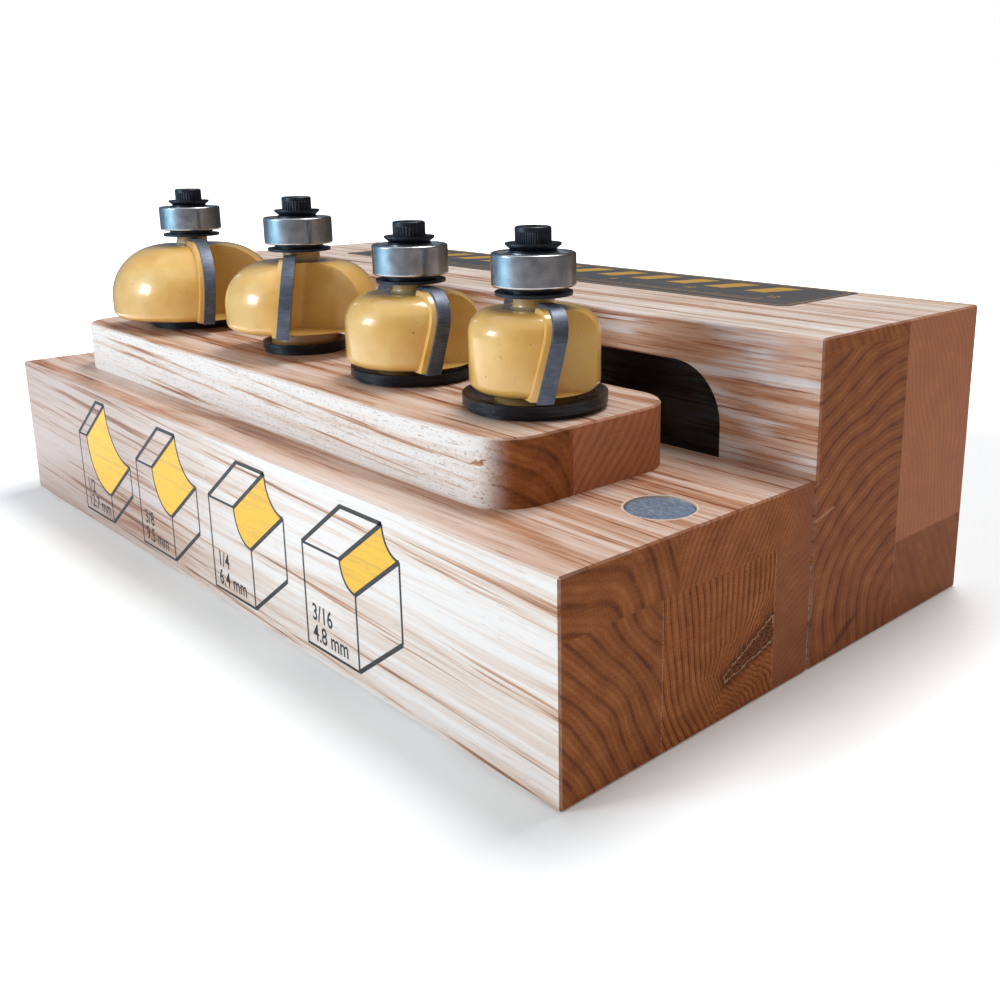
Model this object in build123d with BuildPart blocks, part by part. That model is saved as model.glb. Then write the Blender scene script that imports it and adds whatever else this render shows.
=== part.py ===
"""Wooden box for four piloted cove router bits, with its lid taken off and stood behind it.

The base is a block with a raised platform, drilled for four plastic bushings that hold the bits
upright. The lid is a second block, hollowed out to drop over the platform and the bits, and it
stands here on its rear side, hollow side forward. Magnets in both blocks hold the box shut.
Origin: centre of the base's underside. +X right, +Y back, +Z up. All sizes in millimetres.
"""

import os
from math import cos, radians, sin

from build123d import *

# ---- base block and its raised platform; its length follows from the row of bits ----
base_depth = 52.4
base_height = 31.0
platform_height = 10.2
platform_left_margin = 14.4
platform_right_margin = 20.6
platform_front_margin = 8.8
platform_rear_margin = 6.8
platform_corner = 7.7
edge_easing = 0.3

# ---- lid: it stands on its rear side, so its closed height runs along Y ----
lid_height = 47.4
lid_fit = 2.0
lid_ceiling = 5.4
lid_gap = 0.4

# ---- magnets, one pair at each end ----
magnet_diameter = 10.0
magnet_thickness = 3.0
magnet_recess = 0.25
magnet_hole_clearance = 0.1
magnet_chamfer = 0.2
left_magnet_margin = 6.6
right_magnet_margin = 8.5

# ---- row of bits, from the smallest at the right to the largest at the left ----
# The coves are 3/16, 1/4, 3/8 and 1/2 inch.
cove_radii = [4.7625, 6.35, 9.525, 12.7]
first_bit_margin = 34.0
last_bit_margin = 36.4
bit_pitches = [31.1, 36.2, 46.3]
head_lifts = [2.9, 2.7, 4.7, 2.5]
head_heights = [12.1, 11.8, 12.5, 15.1]
body_reliefs = [1.1, 1.25, 1.4, 1.5]

# ---- steel body of a bit ----
shank_diameter = 12.7
shank_length = 38.1
shank_chamfer = 0.8
neck_diameter = 6.35
neck_fillet = 0.6
body_bottom_fillet = 1.5
arbor_fit = 0.02

# ---- carbide cutters and the flutes in front of them ----
flute_count = 2
rake_bearings = [-17.7, -7.4, -31.4, -11.7]
rake_setbacks = [0.5, 0.35, 1.6, 0.3]
shear_angles = [13.2, 14.1, 8.0, 6.9]
carbide_thickness = 2.2
carbide_inner_radius = 3.6
carbide_overhang = 0.3
backing_thickness = 0.8
backing_inset = 0.4
backing_inner_radius = 5.0
gullet_root_radius = 4.3
gullet_floor_angle = 24.0
gullet_fillet = 1.6

# ---- pilot bearing ----
bearing_diameter = 12.7
bearing_bore = 4.7625
bearing_width = 4.98
bearing_edge_fillet = 0.35
ball_diameter = 1.58
ball_count = 7
ball_pitch_radius = 4.5
race_clearance = 0.06
land_offset = 0.75
shield_thickness = 0.2
shield_recess = 0.2
shield_seat = 0.2
shield_running_gap = 0.1
cage_height = 2.1
cage_wall = 0.5

# ---- washers and cap screw that hold the bearing ----
lower_washer_gaps = [0.85, 0.5, 0.6, 0.4]
lower_washer_height = 1.3
lower_washer_radius = 5.85
lower_washer_rim = 0.5
lower_washer_groove_radius = 4.0
lower_washer_collar_radius = 4.5
lower_washer_collar = 0.45
upper_washer_foot_radius = 3.6
upper_washer_foot = 0.3
upper_washer_waist_radius = 3.3
upper_washer_rim_radius = 4.2
upper_washer_rim = 0.3
upper_washer_lip = 0.35
upper_washer_height = 1.35
upper_washer_floor = 0.75
screw_thread_diameter = 3.0
screw_thread_length = 8.0
screw_head_diameter = 5.45
screw_head_height = 3.0
screw_head_fillet = 0.35
screw_socket_flats = 2.5
screw_socket_depth = 1.5
screw_fit = 0.02
thread_run_out = 1.0
arbor_shortfall = 0.3
screw_seat_clearance = 0.15

# ---- plastic bushings pressed into the base ----
bushing_bore_clearance = 0.05
bushing_wall = 0.8
bushing_length = 20.0
bushing_foot_radii = [10.3, 10.0, 7.7, 9.9]
bushing_ring_radii = [11.1, 10.8, 8.0, 10.6]
bushing_heights = [2.35, 2.15, 2.0, 2.0]
bushing_foot_height = 0.8
bushing_dish_depth = 1.1
bushing_dish_margin = 0.5
socket_clearance = 0.4

# ---- places worked out from the sizes above ----
base_length = first_bit_margin + sum(bit_pitches) + last_bit_margin
platform_top = base_height + platform_height
platform_length = base_length - platform_left_margin - platform_right_margin
platform_x = (platform_left_margin - platform_right_margin) / 2
platform_depth = base_depth - platform_front_margin - platform_rear_margin
row_y = (platform_front_margin - platform_rear_margin) / 2
left_magnet_x = left_magnet_margin - base_length / 2
right_magnet_x = base_length / 2 - right_magnet_margin
lid_front = base_depth / 2 + lid_gap
cavity_depth = lid_height - lid_ceiling
cavity_length = platform_length + 2 * lid_fit
cavity_height = platform_depth + 2 * lid_fit
cavity_corner = platform_corner + lid_fit
arbor_radius = bearing_bore / 2 - arbor_fit
inner_land_radius = ball_pitch_radius - land_offset
outer_land_radius = ball_pitch_radius + land_offset
bushing_bore = shank_diameter / 2 + bushing_bore_clearance
bushing_radius = bushing_bore + bushing_wall
first_bit_x = base_length / 2 - first_bit_margin
bit_x = [first_bit_x - sum(bit_pitches[:i]) for i in range(len(cove_radii))]


def save(piece, name):
    """Labels a finished piece and writes it to its own file."""
    piece.part.label = name
    export_step(piece.part, f"parts/{name}.step")


def bit_levels(i):
    """Heights of one bit's underside, shoulder and bearing bottom."""
    underside = platform_top + head_lifts[i]
    shoulder = underside + head_heights[i]
    bearing_bottom = shoulder + body_reliefs[i] + lower_washer_gaps[i] + lower_washer_height
    return underside, shoulder, bearing_bottom


def section_plane(i):
    """Upright plane through one bit's axis: local X is the radius, local Y the height."""
    return Plane(origin=(bit_x[i], row_y, 0), x_dir=(1, 0, 0), z_dir=(0, -1, 0))


def bit_axis(i):
    """Axis of one bit and of its socket."""
    return Axis((bit_x[i], row_y, 0), (0, 0, 1))


def flute_directions(i, flute):
    """Outward direction of one flute, and the upward direction of its sheared face."""
    bearing = radians(rake_bearings[i] + 360 / flute_count * flute)
    shear = radians(shear_angles[i])
    outward = Vector(cos(bearing), sin(bearing), 0)
    forward = Vector(-sin(bearing), cos(bearing), 0)
    return outward, forward * sin(shear) + Vector(0, 0, 1) * cos(shear)


def rake_plane(i, flute, depth=0.0):
    """Plane at a depth behind a cutter's face, which is set back from the bit's axis."""
    underside, shoulder, _ = bit_levels(i)
    outward, upward = flute_directions(i, flute)
    backward = outward.cross(upward)
    middle = Vector(bit_x[i], row_y, (underside + shoulder) / 2)
    origin = middle + backward * (rake_setbacks[i] + depth)
    return Plane(origin=origin, x_dir=outward, z_dir=backward)


def cutting_envelope(i, inset, overhang):
    """Solid of revolution that a cutter's edge sweeps, set in from the edge by inset."""
    underside, shoulder, _ = bit_levels(i)
    pilot = bearing_diameter / 2
    radius = cove_radii[i] - inset
    high = shoulder + body_reliefs[i] - inset
    low = underside - overhang
    with BuildPart() as envelope:
        with BuildSketch(section_plane(i)):
            with BuildLine():
                Polyline((pilot, high), (0, high), (0, low), (pilot + radius, low),
                         (pilot + radius, high - radius))
                CenterArc((pilot, high - radius), radius, 0, 90)
            make_face()
        revolve(axis=bit_axis(i))
    return envelope.part


def cutter_slab(i, flute, depth, thickness, inner_radius):
    """Flat slab parallel to a cutter's face, from inner_radius outward past the head."""
    reach = 2 * (bearing_diameter / 2 + cove_radii[i])
    with BuildPart() as slab:
        with BuildSketch(rake_plane(i, flute, depth)):
            with Locations((inner_radius, 0)):
                Rectangle(reach, 2 * reach, align=(Align.MIN, Align.CENTER))
        extrude(amount=thickness)
    return slab.part


def gullet_outline(i):
    """Notch in front of a cutter, in plan: the cutter's face runs outward along local X."""
    reach = 2 * (bearing_diameter / 2 + cove_radii[i])
    slope = radians(gullet_floor_angle)
    far_corner = (gullet_root_radius + reach * sin(slope), reach * cos(slope))
    with BuildSketch() as outline:
        Polygon((gullet_root_radius, 0), (gullet_root_radius + reach, 0), far_corner, align=None)
        fillet(outline.vertices().sort_by(Axis.X)[0], gullet_fillet)
    return outline.sketch


def make_base_block():
    """Base with its platform, magnet pockets and stepped sockets for the bits."""
    row = [(x, row_y) for x in bit_x]
    with BuildPart() as block:
        with BuildSketch():
            Rectangle(base_length, base_depth)
        extrude(amount=base_height)
        chamfer(block.edges(), edge_easing)
        with BuildSketch(Plane.XY.offset(base_height)):
            with Locations((platform_x, row_y)):
                RectangleRounded(platform_length, platform_depth, platform_corner)
        extrude(amount=platform_height)
        chamfer(block.faces().sort_by(Axis.Z)[-1].edges(), edge_easing)
        with BuildSketch(Plane.XY.offset(base_height)):
            with Locations((left_magnet_x, row_y), (right_magnet_x, row_y)):
                Circle(magnet_diameter / 2 + magnet_hole_clearance)
        extrude(amount=-(magnet_thickness + magnet_recess), mode=Mode.SUBTRACT)
        with BuildSketch(Plane.XY.offset(platform_top)):
            with Locations(row):
                Circle(bushing_radius)
        extrude(amount=-bushing_length, mode=Mode.SUBTRACT)
        for place, lift in zip(row, head_lifts):
            with BuildSketch(Plane.XY.offset(platform_top)):
                with Locations(place):
                    Circle(shank_diameter / 2 + socket_clearance)
            extrude(amount=-(shank_length - lift), mode=Mode.SUBTRACT)
    return block


def make_lid_block():
    """Lid on its rear side: the hollow and the magnet pockets open toward the base."""
    mouth = Plane.XZ.offset(-lid_front)
    row_height = base_depth / 2 - row_y
    with BuildPart() as block:
        with BuildSketch(mouth):
            with Locations((0, base_depth / 2)):
                Rectangle(base_length, base_depth)
        extrude(amount=-lid_height)
        chamfer(block.edges(), edge_easing)
        with BuildSketch(mouth):
            with Locations((platform_x, row_height)):
                RectangleRounded(cavity_length, cavity_height, cavity_corner)
        extrude(amount=-cavity_depth, mode=Mode.SUBTRACT)
        with BuildSketch(mouth):
            with Locations((left_magnet_x, row_height), (right_magnet_x, row_height)):
                Circle(magnet_diameter / 2 + magnet_hole_clearance)
        extrude(amount=-(magnet_thickness + magnet_recess), mode=Mode.SUBTRACT)
    return block


def make_magnet(face_plane):
    """Disc magnet sunk just below the face that face_plane lies in, its normal pointing out."""
    with BuildPart() as magnet:
        with BuildSketch(face_plane.offset(-magnet_recess)):
            Circle(magnet_diameter / 2)
        extrude(amount=-magnet_thickness)
        chamfer(magnet.edges(), magnet_chamfer)
    return magnet


def make_bushing(i):
    """Plastic sleeve with a foot on the platform and a dished ring above it."""
    low = platform_top - bushing_length
    foot = platform_top + bushing_foot_height
    high = platform_top + bushing_heights[i]
    rim = bushing_ring_radii[i] - bushing_dish_margin
    with BuildPart() as bushing:
        with BuildSketch(section_plane(i)):
            Polygon((bushing_bore, low), (bushing_radius, low), (bushing_radius, platform_top),
                    (bushing_foot_radii[i], platform_top), (bushing_foot_radii[i], foot),
                    (bushing_ring_radii[i], foot), (bushing_ring_radii[i], high), (rim, high),
                    (bushing_bore, high - bushing_dish_depth), align=None)
        revolve(axis=bit_axis(i))
    return bushing


def make_backings(i):
    """Raised lands behind the cutters, a little inside the cutting edge."""
    slabs = [cutter_slab(i, flute, carbide_thickness, backing_thickness, backing_inner_radius)
             for flute in range(flute_count)]
    envelope = cutting_envelope(i, backing_inset, 0)
    with BuildPart() as backings:
        add(slabs)
        add(envelope, mode=Mode.INTERSECT)
    return backings


def make_bit_body(i):
    """Steel body: shank, cutter head with its flutes and seats, neck and bearing arbor."""
    underside, shoulder, bearing_bottom = bit_levels(i)
    shank = shank_diameter / 2
    shank_end = underside - shank_length
    neck = neck_diameter / 2
    neck_top = bearing_bottom - lower_washer_height
    pilot = bearing_diameter / 2
    cove = cove_radii[i] - body_reliefs[i]
    bearing_top = bearing_bottom + bearing_width
    arbor_top = bearing_top - arbor_shortfall
    thread = screw_thread_diameter / 2 + screw_fit
    thread_end = bearing_top + upper_washer_floor - screw_thread_length - thread_run_out
    half_rise = head_heights[i] / 2 / cos(radians(shear_angles[i]))
    gullet_length = 2 * half_rise + body_reliefs[i]
    backings = make_backings(i).part.solids()
    seats = make_cutters(i).part.solids()
    with BuildPart() as body:
        with BuildSketch(section_plane(i)):
            with BuildLine():
                Polyline((pilot, shoulder), (neck, shoulder), (neck, neck_top),
                         (arbor_radius, neck_top), (arbor_radius, arbor_top),
                         (thread, arbor_top), (thread, thread_end), (0, thread_end),
                         (0, shank_end), (shank - shank_chamfer, shank_end),
                         (shank, shank_end + shank_chamfer), (shank, underside),
                         (pilot + cove, underside), (pilot + cove, shoulder - cove))
                CenterArc((pilot, shoulder - cove), cove, 0, 90)
            make_face()
        revolve(axis=bit_axis(i))
        at_shoulder = body.edges().filter_by_position(Axis.Z, shoulder, shoulder)
        fillet(at_shoulder.sort_by(SortBy.RADIUS)[0], neck_fillet)
        at_underside = body.edges().filter_by_position(Axis.Z, underside, underside)
        fillet(at_underside.sort_by(SortBy.RADIUS)[-1], body_bottom_fillet)
        for backing in backings:
            add(backing)
        for flute in range(flute_count):
            outward, upward = flute_directions(i, flute)
            foot = rake_plane(i, flute).origin - upward * half_rise
            with BuildSketch(Plane(origin=foot, x_dir=outward, z_dir=(0, 0, 1))):
                add(gullet_outline(i))
            extrude(amount=gullet_length, dir=upward, mode=Mode.SUBTRACT)
        add(seats, mode=Mode.SUBTRACT)
    return body


def make_cutters(i):
    """Carbide tips brazed behind the flutes, one per flute."""
    slabs = [cutter_slab(i, flute, 0, carbide_thickness, carbide_inner_radius)
             for flute in range(flute_count)]
    envelope = cutting_envelope(i, 0, carbide_overhang)
    with BuildPart() as cutters:
        add(slabs)
        add(envelope, mode=Mode.INTERSECT)
    return cutters


def make_lower_washer(i):
    """Black washer between neck and bearing: a wide rim, a groove and a collar."""
    _, _, high = bit_levels(i)
    low = high - lower_washer_height
    rim = low + lower_washer_rim
    collar = high - lower_washer_collar
    with BuildPart() as washer:
        with BuildSketch(section_plane(i)):
            Polygon((bearing_bore / 2, low), (lower_washer_radius, low),
                    (lower_washer_radius, rim), (lower_washer_groove_radius, rim),
                    (lower_washer_groove_radius, collar), (lower_washer_collar_radius, collar),
                    (lower_washer_collar_radius, high), (bearing_bore / 2, high), align=None)
        revolve(axis=bit_axis(i))
    return washer


def make_inner_ring(i):
    """Inner ring of the bearing, with its ball groove."""
    _, _, low = bit_levels(i)
    with BuildPart() as ring:
        with BuildSketch(section_plane(i)):
            Polygon((bearing_bore / 2, low), (inner_land_radius, low),
                    (inner_land_radius, low + bearing_width),
                    (bearing_bore / 2, low + bearing_width), align=None)
        revolve(axis=bit_axis(i))
        with Locations((bit_x[i], row_y, low + bearing_width / 2)):
            Torus(ball_pitch_radius, ball_diameter / 2 + race_clearance, mode=Mode.SUBTRACT)
    return ring


def make_outer_ring(i):
    """Outer ring of the bearing, with its ball groove and a seat for each shield."""
    _, _, low = bit_levels(i)
    high = low + bearing_width
    step = shield_recess + shield_thickness
    seat = outer_land_radius + shield_seat
    with BuildPart() as ring:
        with BuildSketch(section_plane(i)):
            Polygon((seat, low), (bearing_diameter / 2, low), (bearing_diameter / 2, high),
                    (seat, high), (seat, high - step), (outer_land_radius, high - step),
                    (outer_land_radius, low + step), (seat, low + step), align=None)
        revolve(axis=bit_axis(i))
        outermost = ring.edges().filter_by(GeomType.CIRCLE).group_by(SortBy.RADIUS)[-1]
        fillet(outermost, bearing_edge_fillet)
        with Locations((bit_x[i], row_y, low + bearing_width / 2)):
            Torus(ball_pitch_radius, ball_diameter / 2 + race_clearance, mode=Mode.SUBTRACT)
    return ring


def make_shields(i):
    """Two thin shields pressed into the outer ring, clear of the inner ring."""
    _, _, low = bit_levels(i)
    lower_face = low + shield_recess
    upper_face = low + bearing_width - shield_recess - shield_thickness
    with BuildPart() as shields:
        for height in (lower_face, upper_face):
            with BuildSketch(Plane.XY.offset(height)):
                with Locations((bit_x[i], row_y)):
                    Circle(outer_land_radius + shield_seat)
                    Circle(inner_land_radius + shield_running_gap, mode=Mode.SUBTRACT)
            extrude(amount=shield_thickness)
    return shields


def make_balls(i):
    """Balls of the bearing."""
    _, _, low = bit_levels(i)
    with BuildPart() as balls:
        with Locations((bit_x[i], row_y, low + bearing_width / 2)):
            with PolarLocations(ball_pitch_radius, ball_count):
                Sphere(ball_diameter / 2)
    return balls


def make_cage(i):
    """Cage that keeps the balls apart."""
    _, _, low = bit_levels(i)
    middle = low + bearing_width / 2
    with BuildPart() as cage:
        with BuildSketch(Plane.XY.offset(middle - cage_height / 2)):
            with Locations((bit_x[i], row_y)):
                Circle(ball_pitch_radius + cage_wall / 2)
                Circle(ball_pitch_radius - cage_wall / 2, mode=Mode.SUBTRACT)
        extrude(amount=cage_height)
        with Locations((bit_x[i], row_y, middle)):
            with PolarLocations(ball_pitch_radius, ball_count):
                Cylinder(ball_diameter / 2 + race_clearance, 2 * cage_wall, rotation=(0, 90, 0),
                         mode=Mode.SUBTRACT)
    return cage


def make_upper_washer(i):
    """Black cupped washer that the screw's head sits in, on a narrow foot."""
    _, _, bearing_bottom = bit_levels(i)
    low = bearing_bottom + bearing_width
    high = low + upper_washer_height
    foot = low + upper_washer_foot
    floor = low + upper_washer_floor
    hole = screw_thread_diameter / 2 + screw_seat_clearance
    well = screw_head_diameter / 2 + screw_seat_clearance
    inner_rim = upper_washer_rim_radius - upper_washer_lip
    with BuildPart() as washer:
        with BuildSketch(section_plane(i)):
            Polygon((hole, low), (upper_washer_foot_radius, low), (upper_washer_foot_radius, foot),
                    (upper_washer_waist_radius, foot),
                    (upper_washer_rim_radius, high - upper_washer_rim),
                    (upper_washer_rim_radius, high), (inner_rim, high), (well, floor),
                    (hole, floor), align=None)
        revolve(axis=bit_axis(i))
    return washer


def make_cap_screw(i):
    """Socket-head screw that clamps washers and inner ring on the arbor."""
    _, _, bearing_bottom = bit_levels(i)
    seat = bearing_bottom + bearing_width + upper_washer_floor
    place = (bit_x[i], row_y)
    with BuildPart() as screw:
        with BuildSketch(Plane.XY.offset(seat)):
            with Locations(place):
                Circle(screw_head_diameter / 2)
        extrude(amount=screw_head_height)
        fillet(screw.edges().sort_by(Axis.Z)[-1], screw_head_fillet)
        with BuildSketch(Plane.XY.offset(seat)):
            with Locations(place):
                Circle(screw_thread_diameter / 2)
        extrude(amount=-screw_thread_length)
        with BuildSketch(Plane.XY.offset(seat + screw_head_height)):
            with Locations(place):
                RegularPolygon(screw_socket_flats / 2, 6, major_radius=False)
        extrude(amount=-screw_socket_depth, mode=Mode.SUBTRACT)
    return screw


os.makedirs("parts", exist_ok=True)
save(make_base_block(), "base_block")
save(make_lid_block(), "lid_block")

for side, x in (("left", left_magnet_x), ("right", right_magnet_x)):
    base_face = Plane(origin=(x, row_y, base_height), x_dir=(1, 0, 0), z_dir=(0, 0, 1))
    rim_face = Plane(origin=(x, lid_front, base_depth / 2 - row_y), x_dir=(1, 0, 0), z_dir=(0, -1, 0))
    save(make_magnet(base_face), f"base_magnet_{side}")
    save(make_magnet(rim_face), f"lid_magnet_{side}")

for i in range(len(cove_radii)):
    bit = f"bit{i + 1}"
    save(make_bushing(i), f"{bit}_bushing")
    save(make_bit_body(i), f"{bit}_body")
    save(make_cutters(i), f"{bit}_carbide_cutters")
    save(make_lower_washer(i), f"{bit}_lower_washer")
    save(make_inner_ring(i), f"{bit}_bearing_inner_ring")
    save(make_outer_ring(i), f"{bit}_bearing_outer_ring")
    save(make_shields(i), f"{bit}_bearing_shields")
    save(make_balls(i), f"{bit}_bearing_balls")
    save(make_cage(i), f"{bit}_bearing_cage")
    save(make_upper_washer(i), f"{bit}_upper_washer")
    save(make_cap_screw(i), f"{bit}_cap_screw")
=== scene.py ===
"""Looks of the router bit box: materials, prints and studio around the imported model."""

import math
from collections import namedtuple

import bmesh
import bpy
from mathutils import Euler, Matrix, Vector


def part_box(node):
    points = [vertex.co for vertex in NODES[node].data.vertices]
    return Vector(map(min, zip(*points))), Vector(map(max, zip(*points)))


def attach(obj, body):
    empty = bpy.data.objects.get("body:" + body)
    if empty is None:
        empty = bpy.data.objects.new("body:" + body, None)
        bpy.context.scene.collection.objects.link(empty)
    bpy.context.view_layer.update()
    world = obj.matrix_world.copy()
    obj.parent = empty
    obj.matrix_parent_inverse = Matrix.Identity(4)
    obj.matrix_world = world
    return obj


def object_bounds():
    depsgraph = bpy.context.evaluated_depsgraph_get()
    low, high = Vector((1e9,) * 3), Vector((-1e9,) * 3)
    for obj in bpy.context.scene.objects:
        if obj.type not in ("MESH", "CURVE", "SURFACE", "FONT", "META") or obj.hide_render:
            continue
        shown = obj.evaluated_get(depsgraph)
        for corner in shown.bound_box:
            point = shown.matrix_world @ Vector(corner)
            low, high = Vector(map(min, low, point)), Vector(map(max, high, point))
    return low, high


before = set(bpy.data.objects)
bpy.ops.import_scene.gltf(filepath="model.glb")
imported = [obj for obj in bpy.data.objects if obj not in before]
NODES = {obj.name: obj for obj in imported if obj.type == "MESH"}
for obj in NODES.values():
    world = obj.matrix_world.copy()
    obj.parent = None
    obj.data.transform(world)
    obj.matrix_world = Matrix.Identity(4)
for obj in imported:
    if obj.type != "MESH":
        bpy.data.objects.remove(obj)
cad_low, cad_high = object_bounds()
MM = 0.001
BITS = (1, 2, 3, 4)

# ---- camera: the photograph's own viewpoint, its frame 1000 x 1000 pixels ----
FRAME_PX = 1000
SENSOR_MM = 36.0
FOCAL_PX = 1074.0
CENTRE_PX = (573.8, 415.6)
CAMERA_AT_MM = (176.82, -105.26, 79.59)
CAMERA_TURN_DEG = (75.868, 0.300, 46.025)

# ---- studio, in metres: a level is what a white surface facing the light would show ----
WORLD_LEVEL = 0.39
WORLD_COOL = (0.94, 1.0, 1.08)
WORLD_WARM = (1.0, 0.86, 0.74)
WORLD_SIDE = 0.7
WINDOW_LEVEL = 0.50
WINDOW_BEARING_DEG = -112.0
WINDOW_ELEVATION_DEG = 22.0
WINDOW_DISTANCE = 0.6
WINDOW_SIZE = 0.20
WINDOW_COLOR = (0.86, 0.95, 1.0)
TOP_LEVEL = 0.60
TOP_DIRECTION = (-0.02, 0.36, 0.95)
TOP_DISTANCE = 0.9
TOP_SIZE = 0.36
TOP_COLOR = (1.0, 1.0, 1.0)
FLOOR_SIZE = 6.0
FLOOR_COLOR = (0.89, 0.92, 0.94)
FLOOR_GLOW = 0.06
FLOOR_WHITE_BY = 0.058
LID_SLIDE = 0.1

# ---- places on the part, in millimetres ----
BASE_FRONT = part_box("base_block")[0].y / MM
LID_LOW, LID_HIGH = [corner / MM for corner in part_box("lid_block")]
SCREW_BOXES = [[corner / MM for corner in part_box(f"bit{n}_cap_screw")] for n in BITS]
BIT_X = [(low.x + high.x) / 2 for low, high in SCREW_BOXES]
ROW_Y = (SCREW_BOXES[0][0].y + SCREW_BOXES[0][1].y) / 2
MAGNET_X = sum(corner.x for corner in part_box("base_magnet_right")) / 2 / MM
# The base's top beside its platform, and the lid's hollow.
BASE_TOP = 31.0
HOLLOW_X = (-79.7, 73.5)
HOLLOW_Y = (LID_LOW.y + 0.5, 68.7)
HOLLOW_Z = (4.7, 45.7)


def srgb(red, green, blue):
    """Linear colour of an 8-bit sRGB one."""
    def linear(value):
        value /= 255
        return value / 12.92 if value <= 0.04045 else ((value + 0.055) / 1.055) ** 2.4
    return linear(red), linear(green), linear(blue)


class Tree:
    """A node tree, with short calls for the nodes used here."""

    def __init__(self, tree):
        self.tree = tree

    def node(self, kind, inputs=(), **settings):
        node = self.tree.nodes.new(kind)
        for name, value in settings.items():
            setattr(node, name, value)
        for socket, value in dict(inputs).items():
            self.put(node.inputs[socket], value)
        return node

    def put(self, socket, value):
        if isinstance(value, bpy.types.NodeSocket):
            self.tree.links.new(value, socket)
        elif isinstance(value, tuple) and socket.type == "RGBA":
            socket.default_value = (*value, 1)
        else:
            socket.default_value = value

    def math(self, operation, *values, clamp=False):
        node = self.node("ShaderNodeMath", enumerate(values), operation=operation, use_clamp=clamp)
        return node.outputs[0]

    def add(self, *values):
        total = values[0]
        for value in values[1:]:
            total = self.math("ADD", total, value)
        return total

    def times(self, *values):
        total = values[0]
        for value in values[1:]:
            total = self.math("MULTIPLY", total, value)
        return total

    def size(self, value):
        return self.math("ABSOLUTE", value)

    def length(self, first, second):
        """Length of a vector with these two parts."""
        return self.math("SQRT", self.add(self.times(first, first), self.times(second, second)))

    def above(self, value, edge):
        return self.math("GREATER_THAN", value, edge)

    def below(self, value, edge):
        return self.math("LESS_THAN", value, edge)

    def between(self, value, low, high):
        return self.times(self.above(value, low), self.below(value, high))

    def fade(self, value, start, end, low=0.0, high=1.0, shape="SMOOTHSTEP"):
        """Change from low at start to high at end, and no further."""
        node = self.node("ShaderNodeMapRange", interpolation_type=shape)
        for socket, number in zip(node.inputs, (value, start, end, low, high)):
            self.put(socket, number)
        return node.outputs[0]

    def vector(self, x, y, z):
        return self.node("ShaderNodeCombineXYZ", enumerate((x, y, z))).outputs[0]

    def split(self, vector):
        return self.node("ShaderNodeSeparateXYZ", {0: vector}).outputs

    def scaled(self, vector, scale):
        node = self.node("ShaderNodeVectorMath", {0: vector, "Scale": scale}, operation="SCALE")
        return node.outputs[0]

    def coordinates(self, output="Object"):
        return self.node("ShaderNodeTexCoord").outputs[output]

    def position(self):
        """Place on the part in millimetres, at rest."""
        return self.split(self.scaled(self.coordinates(), 1 / MM))

    def noise(self, place, rates=None, scale=1.0, detail=2.0, roughness=0.5, output=0):
        """Noise at a place (x, y, z); rates say how fast it changes along each of them."""
        if rates:
            place = [self.times(value, rate) for value, rate in zip(place, rates)]
        node = self.node("ShaderNodeTexNoise", {"Vector": self.vector(*place), "Scale": scale,
                                                "Detail": detail, "Roughness": roughness})
        return node.outputs[output]

    def swing(self, value, amount):
        """A value about 0.5 turned into a change about 0."""
        return self.times(self.add(value, -0.5), amount)

    def choose(self, mask, chosen, otherwise):
        """One of two vectors."""
        node = self.node("ShaderNodeMix", {0: mask}, data_type="VECTOR")
        self.put(node.inputs[4], otherwise)
        self.put(node.inputs[5], chosen)
        return node.outputs[1]

    def mix(self, share, first, second, blend="MIX"):
        """Colour between first, at share 0, and second, at share 1."""
        node = self.node("ShaderNodeMix", {0: share}, data_type="RGBA", blend_type=blend)
        self.put(node.inputs[6], first)
        self.put(node.inputs[7], second)
        return node.outputs[2]

    def ramp(self, value, *stops):
        """Colour or grey at a value; each stop is (place, colour)."""
        node = self.node("ShaderNodeValToRGB", {0: value})
        elements = node.color_ramp.elements
        while len(elements) < len(stops):
            elements.new(0.5)
        for element, (place, color) in zip(elements, stops):
            element.position = place
            element.color = (*color, 1) if isinstance(color, tuple) else (color, color, color, 1)
        return node.outputs[0]

    def seen(self):
        """1 for a ray that shows the background, 0 for light on its way to the part."""
        path = self.node("ShaderNodeLightPath").outputs
        total = self.math("ADD", path["Is Camera Ray"], path["Is Glossy Ray"])
        return self.math("ADD", total, path["Is Transmission Ray"], clamp=True)


class Finish(Tree):
    """One material."""

    def __init__(self, name):
        self.material = bpy.data.materials.new(name)
        self.material.use_nodes = True
        super().__init__(self.material.node_tree)
        self.shader = self.tree.nodes["Principled BSDF"]

    def set(self, **values):
        """Sets the surface shader's sockets, written as Base_Color=... ."""
        for name, value in values.items():
            self.put(self.shader.inputs[name.replace("_", " ")], value)

    def bump(self, height, distance, strength):
        """Relief from a height between 0 and 1, distance in millimetres."""
        node = self.node("ShaderNodeBump", {"Height": height, "Distance": distance * MM,
                                            "Strength": strength})
        self.set(Normal=node.outputs[0])


def add_object(name, data):
    thing = bpy.data.objects.new(name, data)
    bpy.context.scene.collection.objects.link(thing)
    return thing


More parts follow.
